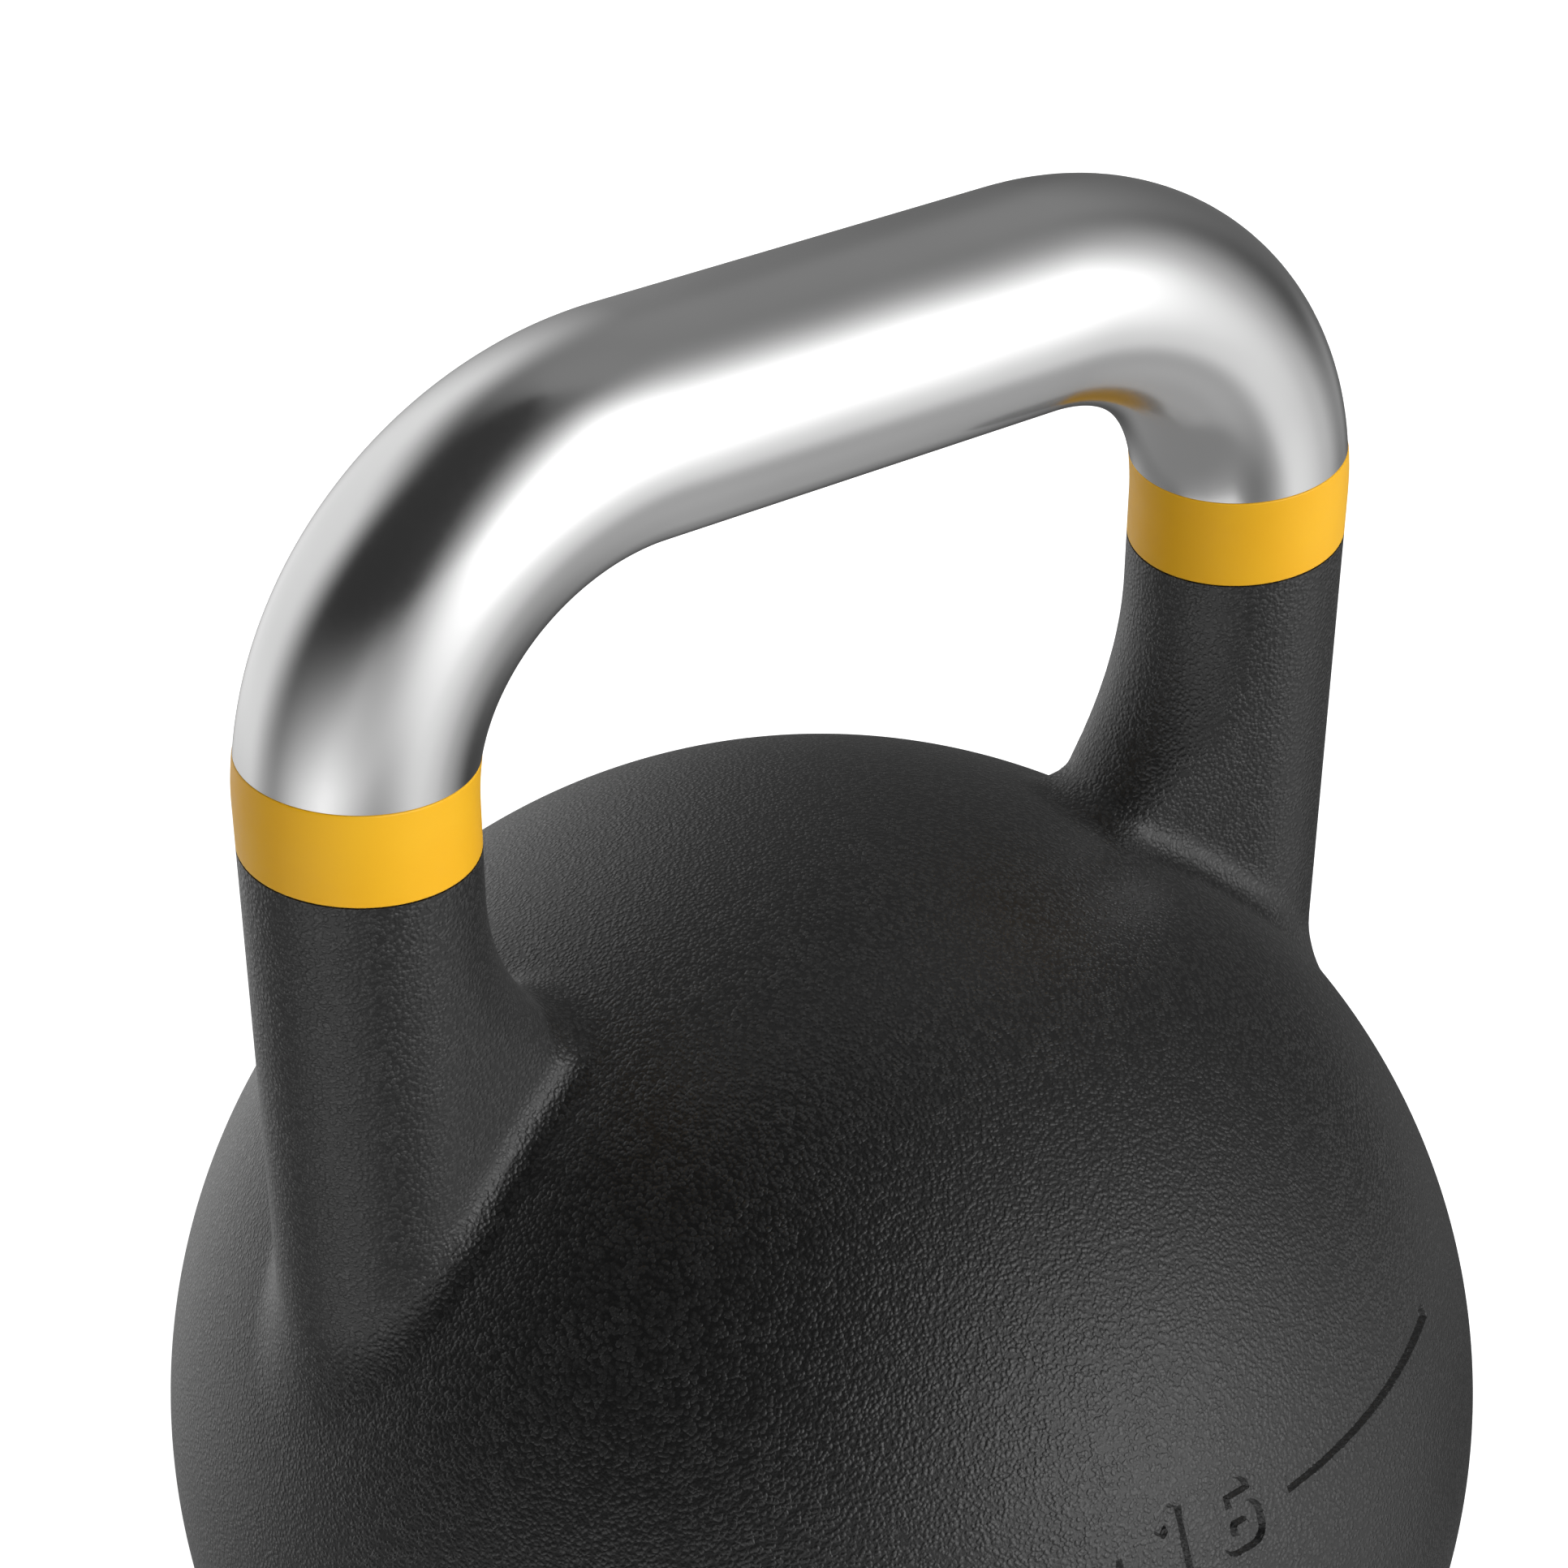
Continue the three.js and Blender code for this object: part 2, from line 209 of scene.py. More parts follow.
def colour_ramp(tree, value, stops):
    made = node(tree, "ShaderNodeValToRGB")
    ramp = made.color_ramp
    ramp.elements[0].position, ramp.elements[0].color = stops[0]
    ramp.elements[1].position, ramp.elements[1].color = stops[-1]
    for position, colour in stops[1:-1]:
        ramp.elements.new(position).color = colour
    link(tree, value, made.inputs["Fac"])
    return made.outputs["Color"]


def mottled(tree, texture, dark, light):
    """A colour that runs from dark to light with the noise."""
    return colour_ramp(tree, texture.outputs["Fac"], [(NOISE_LOW, (*dark, 1)), (NOISE_HIGH, (*light, 1))])


def bump(tree, height, strength, distance):
    made = node(tree, "ShaderNodeBump")
    made.inputs["Strength"].default_value = strength
    made.inputs["Distance"].default_value = distance
    link(tree, height, made.inputs["Height"])
    return made.outputs["Normal"]


# ---------------------------------------------------------------- materials
def powder_coat():
    """Near-black powder coat with a pebbled grain of low domes, under a millimetre across, and painted
    shade darkening the grain's creases.
    """
    warp_scale, cell_scale, lump_scale, swell_scale = 700, 1500, 2000, 260
    warp_width, grain_depth = 0.6 * MM, 0.09 * MM
    material, tree, shader = new_material("powder_coat")
    place = object_coordinates(tree)
    warp = noise(tree, place, warp_scale, 1.0)
    shift = node(tree, "ShaderNodeVectorMath", operation="MULTIPLY_ADD")
    link(tree, warp.outputs["Color"], shift.inputs[0])
    shift.inputs[1].default_value = (warp_width, warp_width, warp_width)
    link(tree, place, shift.inputs[2])
    cells = node(tree, "ShaderNodeTexVoronoi", feature="SMOOTH_F1")
    cells.inputs["Scale"].default_value = cell_scale
    cells.inputs["Smoothness"].default_value = 0.35
    link(tree, shift.outputs[0], cells.inputs["Vector"])
    fall = math_node(tree, "MULTIPLY", cells.outputs["Distance"], cells.outputs["Distance"])
    dome = map_range(tree, fall, 0.0, 0.36, 1.0, 0.0)
    lumps = from_noise(tree, noise(tree, place, lump_scale, 1.0), 0.0, 0.35)
    swell = noise(tree, place, swell_scale)
    depth = map_range(tree, swell.outputs["Fac"], 0.35, 0.65, 0.7, 1.1)
    height = math_node(tree, "ADD", math_node(tree, "MULTIPLY", dome, depth), lumps)
    link(tree, bump(tree, height, 1.0, grain_depth), shader.inputs["Normal"])
    # Painted shade: the base colour is darkest down in the grain's creases and lightest on the dome tops,
    # standing in for shade in the creases
    crease_shade_tones = ((0.2, 0.007), (0.7, 0.017), (1.0, 0.024))
    tone = colour_ramp(tree, height, [(at, (*grey(level), 1)) for at, level in crease_shade_tones])
    link(tree, tone, shader.inputs["Base Color"])
    link(tree, map_range(tree, height, 0.2, 1.1, 0.35, 0.21), shader.inputs["Roughness"])
    shader.inputs["Specular IOR Level"].default_value = 0.38
    return material


def polished_steel():
    """Bright polished bar, with the faint waviness and fine marks that polishing leaves."""
    material, tree, shader = new_material("polished_steel")
    place = object_coordinates(tree)
    shader.inputs["Metallic"].default_value = 1.0
    waves = noise(tree, place, 45, 2.0, 0.4)
    fine = noise(tree, place, 900)
    rough = math_node(tree, "ADD", from_noise(tree, waves, 0.15, 0.18), from_noise(tree, fine, 0.0, 0.02))
    link(tree, rough, shader.inputs["Roughness"])
    link(tree, mottled(tree, waves, grey(0.54), grey(0.57)), shader.inputs["Base Color"])
    link(tree, bump(tree, fine.outputs["Fac"], 0.08, 0.01 * MM), shader.inputs["Normal"])
    return material


def band_enamel():
    """Warm yellow enamel with a slight orange peel."""
    material, tree, shader = new_material("band_yellow")
    place = object_coordinates(tree)
    peel = noise(tree, place, 500)
    cloud = noise(tree, place, 60)
    tone = mottled(tree, cloud, (0.98, 0.50, 0.01), (1.0, 0.54, 0.015))
    link(tree, tone, shader.inputs["Base Color"])
    link(tree, from_noise(tree, peel, 0.36, 0.44), shader.inputs["Roughness"])
    link(tree, bump(tree, peel.outputs["Fac"], 0.3, 0.02 * MM), shader.inputs["Normal"])
    shader.inputs["Specular IOR Level"].default_value = 0.3
    return material


def rough_metal(name, dark, light, scale, roughness, metallic):
    """A cast, welded, plated or moulded surface, mottled at the given scale."""
    material, tree, shader = new_material(name)
    place = object_coordinates(tree)
    mottle = noise(tree, place, scale, 4.0, 0.6)
    link(tree, mottled(tree, mottle, dark, light), shader.inputs["Base Color"])
    link(tree, from_noise(tree, mottle, *roughness), shader.inputs["Roughness"])
    link(tree, bump(tree, mottle.outputs["Fac"], 0.5, 0.1 * MM), shader.inputs["Normal"])
    shader.inputs["Metallic"].default_value = metallic
    return material


# ---------------------------------------------------------------- mesh helpers
def mesh_object(name, mesh, material, cad_node):
    """An object for the mesh, riding on the one body in place of its CAD node."""
    made = bpy.data.objects.new(name, mesh)
    bpy.context.scene.collection.objects.link(made)
    mesh.materials.clear()
    mesh.materials.append(material)
    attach(made, "root")
    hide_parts(cad_node)
    return made


def finished(builder, name):
    """The bmesh as a smooth mesh with its faces pointing out."""
    bmesh.ops.recalc_face_normals(builder, faces=builder.faces)
    mesh = bpy.data.meshes.new(name)
    builder.to_mesh(mesh)
    builder.free()
    mesh.shade_smooth()
    return mesh


def positions(mesh):
    flat = np.empty(len(mesh.vertices) * 3)
    mesh.vertices.foreach_get("co", flat)
    return flat.reshape(-1, 3)


def set_positions(mesh, points):
    mesh.vertices.foreach_set("co", points.ravel())
    mesh.update()


def remeshed(mesh, voxel):
    """A copy of the mesh with even faces of about one size."""
    helper = bpy.data.objects.new("remesh_helper", mesh)
    bpy.context.scene.collection.objects.link(helper)
    modifier = helper.modifiers.new("even", "REMESH")
    modifier.mode = "VOXEL"
    modifier.voxel_size = voxel
    modifier.adaptivity = 0
    graph = bpy.context.evaluated_depsgraph_get()
    result = bpy.data.meshes.new_from_object(helper.evaluated_get(graph))
    bpy.data.objects.remove(helper)
    return result


def join_rings(builder, first, second):
    for i in range(RING):
        j = (i + 1) % RING
        builder.faces.new((first[i], first[j], second[j], second[i]))


def leg_lean(side, x):
    """How far a plane square to the side's leg rises at x above its height on the leg's axis."""
    return side * math.tan(BAND_TILT) * (x - side * LEG_X)


def level_ring(builder, radius, z, centre_x=0.0, side=0):
    """A ring of vertices round an upright axis. A side of -1 or 1 leans it with that side's leg."""
    ring = []
    for i in range(RING):
        angle = 2 * math.pi * i / RING
        x = centre_x + radius * math.cos(angle)
        ring.append(builder.verts.new((x, radius * math.sin(angle), z + leg_lean(side, x))))
    return ring


def turned(builder, profile, x=0.0):
    """A closed solid turned about an upright axis. The profile runs from its lowest flat to its top."""
    rings = [level_ring(builder, radius, z, x) for radius, z in profile]
    for first, second in zip(rings, rings[1:]):
        join_rings(builder, first, second)
    builder.faces.new(rings[0])
    builder.faces.new(rings[-1])


def closed_loop(builder, rings):
    """Joins each ring to the next and the last to the first, as a ring-shaped solid."""
    for first, second in zip(rings, rings[1:] + rings[:1]):
        join_rings(builder, first, second)


def cut_edges(builder, geometry, **plane):
    """Cuts the geometry along a plane and returns the edges of the cut."""
    cut = bmesh.ops.bisect_plane(builder, geom=geometry, **plane)
    return [e for e in cut["geom_cut"] if isinstance(e, bmesh.types.BMEdge)]


def cut_leg(builder, side, z, is_near, **cleared):
    """Cuts one leg along a band's edge plane and returns the edges of the cut."""
    geometry = [v for v in builder.verts if is_near(v.co)]
    near = set(geometry)
    geometry += [e for e in builder.edges if all(v in near for v in e.verts)]
    geometry += [f for f in builder.faces if all(v in near for v in f.verts)]
    normal = (-side * math.sin(BAND_TILT), 0, math.cos(BAND_TILT))
    return cut_edges(builder, geometry, plane_co=(side * LEG_X, 0, z), plane_no=normal, **cleared)


# ---------------------------------------------------------------- the ball with its horns
def round_union(a, b, radius):
    """Two distance fields joined, with a fillet of this radius in the corner between them."""
    inside = np.hypot(np.maximum(radius - a, 0), np.maximum(radius - b, 0))
    return np.maximum(radius, np.minimum(a, b)) - inside


def round_cut(a, b, radius):
    """What two distance fields share, with the edge between them rounded."""
    outside = np.hypot(np.maximum(radius + a, 0), np.maximum(radius + b, 0))
    return np.minimum(-radius, np.maximum(a, b)) + outside


def horn_distance(points):
    """Distance to the nearer horn, and how squarely each point faces the nose of its flare."""
    across, inward, z = np.abs(points[:, 1]), LEG_X - np.abs(points[:, 0]), points[:, 2]
    drop = np.clip(FLARE_TOP_Z - z, 0, FLARE_R * math.sin(FLARE_ANGLE))
    height = np.sqrt(FLARE_R ** 2 - drop ** 2)
    spread = (FLARE_R - height) / (1 - FLARE_TAPER)
    lean = math.sqrt(1 - FLARE_TAPER ** 2)
    tiny = 1e-9
    station = lean * inward - FLARE_TAPER * across
    to_post = np.hypot(across, inward) + tiny
    to_nose = np.hypot(across, inward - spread) + tiny
    by_post, by_nose = station < 0, station > lean * spread
    flat = lean * across + FLARE_TAPER * inward - HORN_R
    nose_r = HORN_R - FLARE_TAPER * spread
    away = np.where(by_post, to_post - HORN_R, np.where(by_nose, to_nose - nose_r, flat))
    facing = np.where(by_nose, (inward - spread) / to_nose, FLARE_TAPER)
    facing = np.where(by_post, inward / to_post, facing)
    slope = drop / height / (1 - FLARE_TAPER) * np.maximum(facing - FLARE_TAPER, 0)
    horn = np.maximum(away / np.sqrt(1 + slope ** 2), BALL_CENTRE.z - z)
    return horn, np.clip(facing, 0, 1)


def casting_distance(points):
    """Distance to the casting's outside, before the mark and the cuts."""
    centred = points - np.array(BALL_CENTRE)
    ball = np.linalg.norm(centred, axis=1) - BALL_R
    horn, facing = horn_distance(points)
    fillet = HORN_FILLET + (NOSE_FILLET - HORN_FILLET) * facing
    body = round_union(ball, horn, fillet)
    return round_cut(body, -points[:, 2], BASE_EDGE)


def field_gradient(points):
    step = 0.02 * MM
    gradient = np.empty_like(points)
    for axis in range(3):
        offset = np.zeros(3)
        offset[axis] = step
        ahead = casting_distance(points + offset)
        behind = casting_distance(points - offset)
        gradient[:, axis] = (ahead - behind) / (2 * step)
    return gradient


def settle(mesh, rounds=6):
    """Moves every vertex along the field's slope onto the true surface."""
    least_slope_squared = 0.05
    points = positions(mesh)
    for _ in range(rounds):
        gradient = field_gradient(points)
        length_squared = np.maximum((gradient ** 2).sum(1), least_slope_squared)
        points -= gradient * (casting_distance(points) / length_squared)[:, None]
    set_positions(mesh, points)


def rough_casting():
    """A ball and two posts, loosely in place, for the remesher to start from."""
    builder = bmesh.new()
    ball = bmesh.ops.create_icosphere(builder, subdivisions=5, radius=BALL_R)
    bmesh.ops.translate(builder, verts=ball["verts"], vec=BALL_CENTRE)
    geometry = builder.verts[:] + builder.edges[:] + builder.faces[:]
    rim = cut_edges(builder, geometry, plane_co=(0, 0, 0), plane_no=(0, 0, -1), clear_outer=True)
    bmesh.ops.holes_fill(builder, edges=rim)
    low = BALL_CENTRE.z
    for side in (-1, 1):
        middle = Matrix.Translation((side * LEG_X, 0, (low + HORN_STUB_Z) / 2))
        bmesh.ops.create_cone(
            builder, cap_ends=True, segments=48, radius1=HORN_R, radius2=HORN_R,
            depth=HORN_STUB_Z - low, matrix=middle,
        )
    mesh = bpy.data.meshes.new("rough_casting")
    builder.to_mesh(mesh)
    builder.free()
    return mesh


def mark_coordinates(points):
    """Distance to the right along the mark's line, and above it, on the ball's surface."""
    centred = points - np.array(BALL_CENTRE)
    longitude = np.arctan2(centred[:, 0], -centred[:, 1])
    latitude = np.arcsin(np.clip(centred[:, 2] / np.linalg.norm(centred, axis=1), -1, 1))
    across = longitude * BALL_R * math.cos(MARK_LATITUDE)
    return across, (latitude - MARK_LATITUDE) * BALL_R


def box_field(x, y, left, low, right, high, corner=0.0):
    """Distance to a rectangle, negative inside."""
    half_x, half_y = (right - left) / 2 - corner, (high - low) / 2 - corner
    over_x = np.abs(x - (left + right) / 2) - half_x
    over_y = np.abs(y - (low + high) / 2) - half_y
    outside = np.hypot(np.maximum(over_x, 0), np.maximum(over_y, 0))
    return outside + np.minimum(np.maximum(over_x, over_y), 0) - corner


def digit_one(x, y):
    half, stem, flag = DIGIT_HEIGHT / 2, STROKE / 2, DIGIT_HEIGHT / 5
    upright = box_field(x, y, -stem, -half, stem, half)
    along = (x + stem) * DIAGONAL + (y - half) * DIAGONAL
    across = (x + stem) * DIAGONAL - (y - half) * DIAGONAL
    reach = flag * DIAGONAL * 2
    slant = box_field(along, across, -reach, 0.0, stem, STROKE * DIAGONAL)
    return np.minimum(upright, slant)


def digit_six(x, y):
    right, top = DIGIT_WIDTH / 2, DIGIT_HEIGHT / 2
    bowl_top = DIGIT_HEIGHT * 0.12
    bowl = box_field(x, y, -right, -top, right, bowl_top, STROKE)
    eye = box_field(x, y, STROKE - right, STROKE - top, right - STROKE, bowl_top - STROKE, STROKE / 4)
    arm = box_field(x, y, -right, bowl_top - STROKE, right - STROKE / 2, top, STROKE)
    notch = box_field(x, y, STROKE - right, bowl_top - 2 * STROKE, right * 2, top - STROKE)
    return np.minimum(np.maximum(bowl, -eye), np.maximum(arm, -notch))


def mark_field(across, above):
    """Distance to the weight mark's outline, negative inside it."""
    one = digit_one(across + DIGIT_SPACING / 2, above)
    six = digit_six(across - DIGIT_SPACING / 2, above)
    radius = BALL_R * math.cos(MARK_LATITUDE)
    bars = box_field(
        np.abs(across), above,
        MARK_BAR_START * radius, -STROKE / 2, MARK_BAR_END * radius, STROKE / 2,
    )
    return np.minimum(np.minimum(one, six), bars)


def sink_mark(mesh):
    """Presses the mark into the ball, with short sloped walls."""
    points = positions(mesh)
    across, above = mark_coordinates(points)
    front = (points[:, 1] < 0) & (np.abs(above) < DIGIT_HEIGHT)
    depth = np.zeros(len(points))
    field = mark_field(across[front], above[front])
    wall = np.clip((MARK_WALL / 2 - field) / MARK_WALL, 0, 1)
    depth[front] = MARK_DEPTH * wall * wall * (3 - 2 * wall)
    centred = points - np.array(BALL_CENTRE)
    outward = centred / np.linalg.norm(centred, axis=1)[:, None]
    set_positions(mesh, points - outward * depth[:, None])


def refine_mark(mesh):
    """Splits the faces round the mark, so that its walls come out sharp."""
    builder = bmesh.new()
    builder.from_mesh(mesh)
    builder.verts.ensure_lookup_table()
    points = positions(mesh)
    across, above = mark_coordinates(points)
    margin = 2 * FINE_VOXEL
    near = mark_field(across, above) < margin
    near &= (points[:, 1] < 0) & (np.abs(above) < DIGIT_HEIGHT)
    edges = [e for e in builder.edges if near[e.verts[0].index] and near[e.verts[1].index]]
    bmesh.ops.subdivide_edges(builder, edges=edges, cuts=MARK_CUTS, use_grid_fill=True)
    builder.to_mesh(mesh)
    builder.free()


def cavity_and_sockets():
    """The hollow of the ball, and the blind holes that take the bar's spigots."""
    builder = bmesh.new()
    steps = 48
    low_angle = math.asin((FLOOR_THICKNESS - BALL_CENTRE.z) / CAVITY_R)
    angles = [low_angle + (CAVITY_TOP - low_angle) * i / steps for i in range(steps + 1)]
    turned(builder, [(CAVITY_R * math.cos(a), BALL_CENTRE.z + CAVITY_R * math.sin(a)) for a in angles])
    bottom, top = SPIGOT_LOW_Z - CLEARANCE, BAND_HIGH_Z + EDGE
    socket = [(SOCKET_R - EDGE, bottom), (SOCKET_R, bottom + EDGE), (SOCKET_R, top)]
    for side in (-1, 1):
        turned(builder, socket, side * LEG_X)
    return finished(builder, "cavity_and_sockets")


def filling_hole():
    """The counterbored hole in the base, through which the ball is filled."""
    builder = bmesh.new()
    turned(builder, [
        (COUNTERBORE_R + 2 * EDGE, -EDGE),
        (COUNTERBORE_R, EDGE),
        (COUNTERBORE_R, COUNTERBORE_DEPTH),
        (BORE_R, COUNTERBORE_DEPTH),
        (BORE_R, FLOOR_THICKNESS + EDGE),
    ])
    return finished(builder, "filling_hole")


def carved(mesh, cutters, name, crease):
    """The mesh with each cutter taken out of it."""
    helper = bpy.data.objects.new("carve_helper", mesh)
    tools = [bpy.data.objects.new("carve_tool", cutter) for cutter in cutters]
    for made in [helper, *tools]:
        bpy.context.scene.collection.objects.link(made)
    for tool in tools:
        modifier = helper.modifiers.new("cut", "BOOLEAN")
        modifier.operation = "DIFFERENCE"
        modifier.solver = "EXACT"
        modifier.object = tool
    graph = bpy.context.evaluated_depsgraph_get()
    result = bpy.data.meshes.new_from_object(helper.evaluated_get(graph))
    for made in [helper, *tools]:
        bpy.data.objects.remove(made)
    result.name = name
    result.shade_smooth()
    result.set_sharp_from_angle(angle=crease)
    return result


def make_plug(material):
    """The threaded plug, with eased edges and a hexagonal socket for its key."""
    builder = bmesh.new()
    low = PLUG_LOW.z
    profile = [(PLUG_R - EDGE, low), (PLUG_R, low + EDGE)]
    profile += [(PLUG_R, low + FLANGE - EDGE / 2), (PLUG_R - EDGE / 2, low + FLANGE)]
    z = low + FLANGE + EDGE
    profile += [(SHANK_R - THREAD_DEPTH, low + FLANGE), (SHANK_R - THREAD_DEPTH, z)]
    while z + THREAD_PITCH < PLUG_HIGH.z:
        profile += [(SHANK_R, z + THREAD_PITCH * 0.4), (SHANK_R, z + THREAD_PITCH * 0.6)]
        profile.append((SHANK_R - THREAD_DEPTH, z + THREAD_PITCH))
        z += THREAD_PITCH
    profile.append((SHANK_R - THREAD_DEPTH - EDGE / 2, PLUG_HIGH.z))
    turned(builder, profile)
    hexagon = bmesh.new()
    corners = [(HEX_R * math.cos(i * math.pi / 3), HEX_R * math.sin(i * math.pi / 3)) for i in range(6)]
    lower = [hexagon.verts.new((x, y, low - EDGE)) for x, y in corners]
    upper = [hexagon.verts.new((x, y, low + HEX_DEPTH)) for x, y in corners]
    for i in range(6):
        j = (i + 1) % 6
        hexagon.faces.new((lower[i], lower[j], upper[j], upper[i]))
    hexagon.faces.new(lower)
    hexagon.faces.new(upper)
    mouth = bmesh.new()
    turned(mouth, [(HEX_R + EDGE, low - EDGE / 2), (HEX_R - EDGE, low + EDGE * 1.5)])
    tools = [finished(hexagon, "hex_key"), finished(mouth, "hex_mouth")]
    mesh = carved(finished(builder, "solid_plug"), tools, "base_plug_zinc", PLUG_CREASE)
    return mesh_object("base_plug_zinc", mesh, material, "base_plug")


def make_seal(material):
    """The rubber ring under the plug's flange, with rounded edges."""
    builder = bmesh.new()
    low, high = SEAL_LOW.z, SEAL_HIGH.z
    inner, outer = SHANK_R + CLEARANCE, (SEAL_HIGH.x - SEAL_LOW.x) / 2
    corner = (high - low) / 2
    corner_steps = 8
    section = []
    for centre_r, start in ((outer - corner, -math.pi / 2), (inner + corner, math.pi / 2)):
        for i in range(corner_steps + 1):
            angle = start + math.pi * i / corner_steps
            section.append((centre_r + corner * math.cos(angle), low + corner + corner * math.sin(angle)))
    closed_loop(builder, [level_ring(builder, radius, z) for radius, z in section])
    mesh = finished(builder, "plug_seal_rubber")
    return mesh_object("plug_seal_rubber", mesh, material, "plug_seal")


def make_casting(material):
    """The ball with its horns: settled onto its true surface, marked, cut at the bands and hollowed."""
    mesh = remeshed(rough_casting(), COARSE_VOXEL)
    settle(mesh)
    mesh = remeshed(mesh, FINE_VOXEL)
    settle(mesh)
    refine_mark(mesh)
    settle(mesh, 2)
    sink_mark(mesh)
    builder = bmesh.new()
    builder.from_mesh(mesh)
    for side in (-1, 1):
        rim = cut_leg(
            builder, side, BAND_LOW_Z, lambda at: at.x * side > 0 and at.z > FLARE_TOP_Z, clear_outer=True,
        )
        bmesh.ops.holes_fill(builder, edges=rim)
    mesh = finished(builder, "solid_casting")
    tools = [cavity_and_sockets(), filling_hole()]
    mesh = carved(mesh, tools, "ball_casting_coated", CASTING_CREASE)
    return mesh_object("ball_casting_coated", mesh, material, "ball_casting")


# ---------------------------------------------------------------- the handle
def leg_centre_x(z):
    """Distance of the leg's centreline from the middle, at a height."""
    rise = max(z - BEND_LOW_Z, 0)
    return BEND_X + math.sqrt(BEND_R ** 2 - rise ** 2)


def ring_at(builder, centre, normal, radius):
    """A ring of vertices round the bar, square to its centreline."""
    side = Vector((0, 1, 0))
    return [
        builder.verts.new(centre + (normal * math.cos(a) + side * math.sin(a)) * radius)
        for a in (2 * math.pi * i / RING for i in range(RING))
    ]


def bar_stations():
    """Centre and outward normal at each station, from the left band over the top to the right."""
    stations = []
    bend_steps = 56
    start = math.radians(4)
    for i in range(bend_steps + 1):
        angle = start + (math.pi / 2 - start) * i / bend_steps
        normal = Vector((-math.cos(angle), 0, math.sin(angle)))
        stations.append((Vector((-BEND_X, 0, BEND_LOW_Z)) + normal * BEND_R, normal))
    top_steps = 20
    for i in range(1, top_steps):
        x = -BEND_X + 2 * BEND_X * i / top_steps
        stations.append((Vector((x, 0, BAR_TOP_Z)), Vector((0, 0, 1))))
    mirrored = [
        (Vector((-centre.x, 0, centre.z)), Vector((-normal.x, 0, normal.z)))
        for centre, normal in reversed(stations[:bend_steps + 1])
    ]
    return stations + mirrored


def make_bar(material):
    """The bent bar, with a neck and a spigot at each end."""
    builder = bmesh.new()
    rings = [ring_at(builder, centre, normal, BAR_R) for centre, normal in bar_stations()]
    for first, second in zip(rings, rings[1:]):
        join_rings(builder, first, second)
    for side in (-1, 1):
        rim = cut_leg(builder, side, BAND_HIGH_Z, lambda at: at.x * side > BEND_X, clear_inner=True)
        add_bar_end(builder, rim, side)
    mesh = finished(builder, "handle_bar_polished")
    mesh.set_sharp_from_angle(angle=BAR_CREASE)
    return mesh_object("handle_bar_polished", mesh, material, "handle_bar")


def add_bar_end(builder, rim, side):
    """Closes a bar end with its eased edge, neck, chamfer and spigot."""
    shoulder = [
        (BAR_R - BAR_EASE * EASE_MIDDLE, BAND_HIGH_Z - BAR_EASE * (1 - EASE_MIDDLE)),
        (BAR_R - BAR_EASE, BAND_HIGH_Z - BAR_EASE),
        (NECK_R, BAND_HIGH_Z - BAR_EASE),
    ]
    foot = [
        (NECK_R, NECK_LOW_Z + BAR_CHAMFER),
        (NECK_R - BAR_CHAMFER, NECK_LOW_Z),
        (SPIGOT_R, NECK_LOW_Z),
        (SPIGOT_R, SPIGOT_LOW_Z + BAR_CHAMFER),
        (SPIGOT_R - BAR_CHAMFER, SPIGOT_LOW_Z),
    ]
    edges = rim
    for index, (radius, z) in enumerate(shoulder + foot):
        grown = bmesh.ops.extrude_edge_only(builder, edges=edges)["geom"]
        centre_x = side * leg_centre_x(z)
        tilted = index < len(shoulder)
        for vertex in (v for v in grown if isinstance(v, bmesh.types.BMVert)):
            angle = math.atan2(vertex.co.y, vertex.co.x - centre_x)
            x = centre_x + radius * math.cos(angle)
            lean = leg_lean(side, x) if tilted else 0
            vertex.co = (x, radius * math.sin(angle), z + lean)
        edges = [e for e in grown if isinstance(e, bmesh.types.BMEdge)]
    bmesh.ops.holes_fill(builder, edges=edges)


def make_band(side, node_name, material):
    """A flush ring between the bar and the horn, with eased edges."""
    builder = bmesh.new()
    low, high = BAND_LOW_Z + JOINT_GAP, BAND_HIGH_Z - JOINT_GAP
    nearly = BAND_EASE * EASE_MIDDLE
    section = [(BAND_INNER_R, low), (BAND_R - BAND_EASE, low), (BAND_R - nearly, low + nearly)]
    wall_low, wall_high = low + BAND_EASE, high - BAND_EASE
    wall_steps = 12
    for i in range(wall_steps + 1):
        section.append((BAND_R, wall_low + (wall_high - wall_low) * i / wall_steps))
    section += [(BAND_R - nearly, high - nearly), (BAND_R - BAND_EASE, high), (BAND_INNER_R, high)]
    closed_loop(builder, [
        level_ring(builder, radius, z, side * leg_centre_x(z), side) for radius, z in section
    ])
    name = node_name + "_enamel"
    mesh = finished(builder, name)
    mesh.set_sharp_from_angle(angle=BAR_CREASE)
    return mesh_object(name, mesh, material, node_name)


# ---------------------------------------------------------------- studio
def make_camera():
    """The photograph's viewpoint."""
    back = Vector((
        math.sin(CAMERA_AZIMUTH) * math.cos(CAMERA_ELEVATION),
        -math.cos(CAMERA_AZIMUTH) * math.cos(CAMERA_ELEVATION),
        math.sin(CAMERA_ELEVATION),
    ))
    data = bpy.data.cameras.new("camera")
    data.sensor_width = SENSOR_WIDTH
    data.lens = CAMERA_LENS
    data.clip_start, data.clip_end = 0.01, 50
    camera = bpy.data.objects.new("camera", data)
    camera.location = CAMERA_AIM + back * CAMERA_DISTANCE
    camera.rotation_mode = "QUATERNION"
    camera.rotation_quaternion = (-back).to_track_quat("-Z", "Y")
    bpy.context.scene.collection.objects.link(camera)
    bpy.context.scene.camera = camera


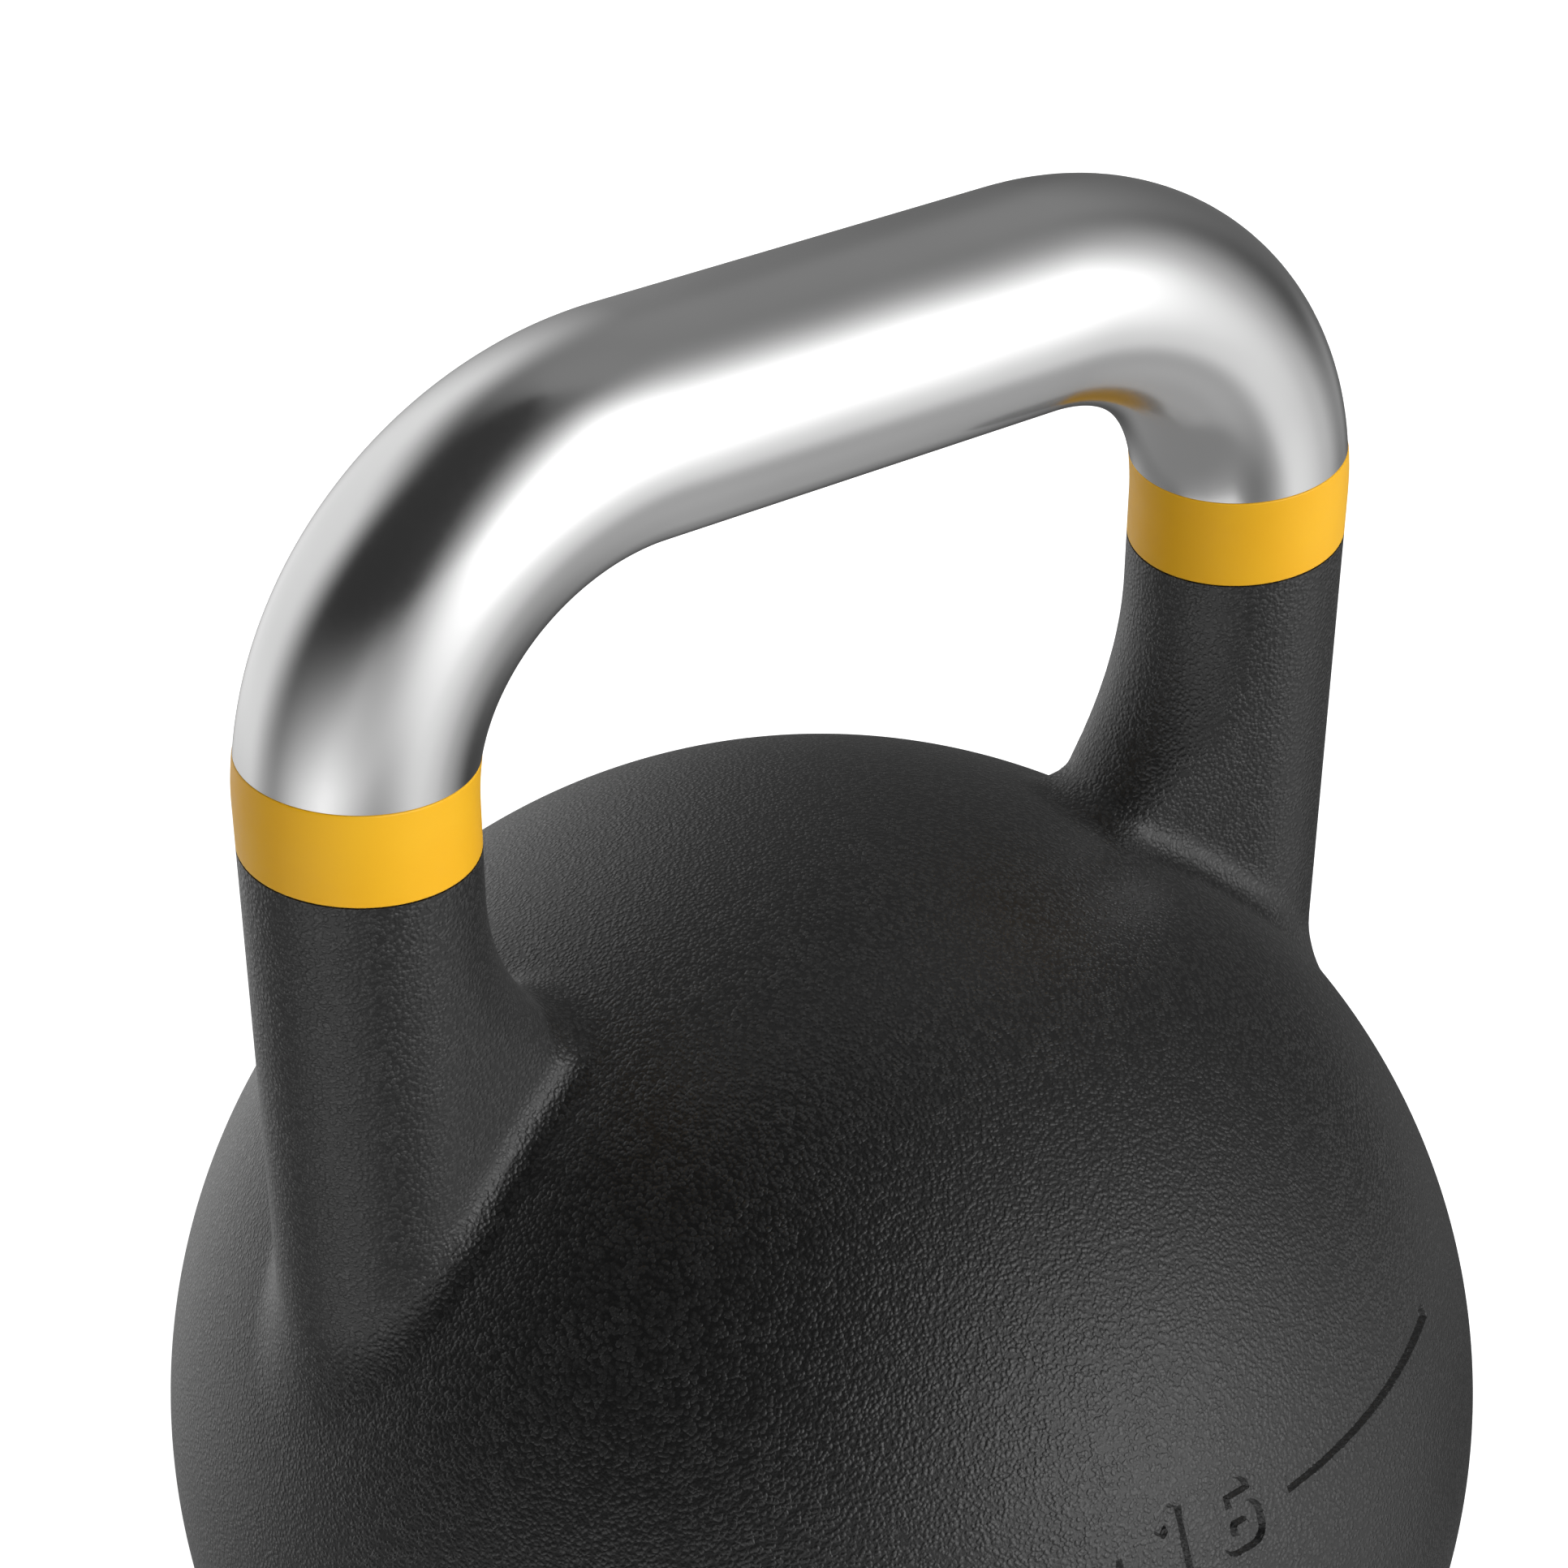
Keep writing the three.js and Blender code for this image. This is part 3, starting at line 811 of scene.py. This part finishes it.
def soft_box(tree, look, azimuth, elevation, width, height, edge):
    """1 for directions inside a box of this many degrees, fading to 0 across its soft edge."""
    swung = node(tree, "ShaderNodeVectorRotate", rotation_type="Z_AXIS")
    link(tree, look, swung.inputs["Vector"])
    swung.inputs["Angle"].default_value = -math.radians(azimuth)
    split = node(tree, "ShaderNodeSeparateXYZ")
    link(tree, swung.outputs[0], split.inputs[0])
    x, y, z = split.outputs
    across = math_node(tree, "ARCTAN2", x, math_node(tree, "MULTIPLY", y, -1))
    above = math_node(tree, "SUBTRACT", math_node(tree, "ARCSINE", z), math.radians(elevation))
    fades = []
    for offset, size in ((across, width), (above, height)):
        away = math_node(tree, "ABSOLUTE", offset)
        dark, full = math.radians((size + edge) / 2), math.radians((size - edge) / 2)
        fades.append(map_range(tree, away, dark, full, 0, 1, smooth=True))
    return math_node(tree, "MULTIPLY", *fades)


def make_studio_light():
    """Soft light from boxes of glow all round, by azimuth (0 the front, 90 the right) and elevation."""
    world = bpy.data.worlds.new("studio")
    world.use_nodes = True
    bpy.context.scene.world = world
    tree = world.node_tree
    background = tree.nodes["Background"]
    look = node(tree, "ShaderNodeTexCoord").outputs["Generated"]
    room_glow = 0.05
    # azimuth, elevation, width, height, soft edge (degrees), strength
    boxes = {
        "front key": (15, 15, 20, 30, 90, 8.6),
        "rear fill": (-160, 5, 75, 80, 40, 1.1),
        "ceiling": (105, 85, 190, 100, 90, 0.3),
        "left strip": (-60, -20, 60, 5, 85, 3.3),
        "right fill": (40, 0, 70, 90, 50, 0.9),
        "low right glow": (90, -20, 45, 15, 15, 0.25),
        "rear right glow": (125, 10, 55, 85, 35, 0.12),
        "low left glow": (-70, -40, 70, 10, 15, 1.6),
        "left glow": (-40, 5, 25, 20, 20, 0.2),
        "low front glow": (35, -35, 30, 10, 15, 0.25),
        "table glow": (60, -70, 110, 30, 20, 0.2),
        "from the table": (0, -90, 720, 85, 20, 0.3),
    }
    total = room_glow
    for azimuth, elevation, width, height, edge, strength in boxes.values():
        glow = soft_box(tree, look, azimuth, elevation, width, height, edge)
        total = math_node(tree, "ADD", math_node(tree, "MULTIPLY", glow, strength), total)
    # The camera itself sees plain white behind the object
    seen = node(tree, "ShaderNodeLightPath").outputs["Is Camera Ray"]
    glow = node(tree, "ShaderNodeMix", data_type="FLOAT")
    link(tree, seen, glow.inputs[0])
    link(tree, total, glow.inputs[2])
    glow.inputs[3].default_value = 1.0
    link(tree, glow.outputs[0], background.inputs["Strength"])
    background.inputs["Color"].default_value = (*grey(1), 1)


def make_floor():
    """A pale floor that the camera sees as white, and mirror reflections don't see."""
    builder = bmesh.new()
    bmesh.ops.create_grid(builder, x_segments=8, y_segments=8, size=FLOOR_SIZE)
    mesh = bpy.data.meshes.new("floor")
    builder.to_mesh(mesh)
    builder.free()
    floor = bpy.data.objects.new("floor", mesh)
    bpy.context.scene.collection.objects.link(floor)
    material, tree, shader = new_material("floor_pale")
    output = tree.nodes["Material Output"]
    shader.inputs["Base Color"].default_value = (*grey(FLOOR_TONE), 1)
    shader.inputs["Roughness"].default_value = 1.0
    glow = node(tree, "ShaderNodeEmission")
    seen = node(tree, "ShaderNodeLightPath").outputs["Is Camera Ray"]
    link(tree, math_node(tree, "MULTIPLY", seen, FLOOR_TONE), glow.inputs["Strength"])
    both = node(tree, "ShaderNodeAddShader")
    link(tree, shader.outputs[0], both.inputs[0])
    link(tree, glow.outputs[0], both.inputs[1])
    link(tree, both.outputs[0], output.inputs["Surface"])
    mesh.materials.append(material)
    floor.visible_glossy = False


# ---------------------------------------------------------------- build
make_camera()
make_studio_light()
make_floor()
bpy.context.scene.view_settings.view_transform = "Standard"

casting = make_casting(powder_coat())
make_bar(polished_steel())
yellow = band_enamel()
make_band(-1, "band_left", yellow)
make_band(1, "band_right", yellow)

weld = rough_metal("weld_metal", (0.20, 0.19, 0.18), (0.42, 0.40, 0.38), 900, (0.4, 0.6), 1.0)
ballast = rough_metal("ballast", (0.09, 0.085, 0.08), (0.20, 0.19, 0.18), 700, (0.8, 0.95), 0.0)
zinc = rough_metal("zinc_steel", (0.42, 0.44, 0.45), (0.56, 0.58, 0.59), 400, (0.3, 0.42), 1.0)
rubber = rough_metal("seal_rubber", grey(0.015), grey(0.03), 1200, (0.75, 0.9), 0.0)

# Pieces that the bar's polish doesn't mirror
unmirrored = [casting]
for name, finish in {"weld_ring_left": weld, "weld_ring_right": weld, "ballast_fill": ballast}.items():
    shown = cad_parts[name]
    shown.data.materials.clear()
    shown.data.materials.append(finish)
    unmirrored.append(shown)
unmirrored += [make_plug(zinc), make_seal(rubber)]
for piece in unmirrored:
    piece.visible_glossy = False
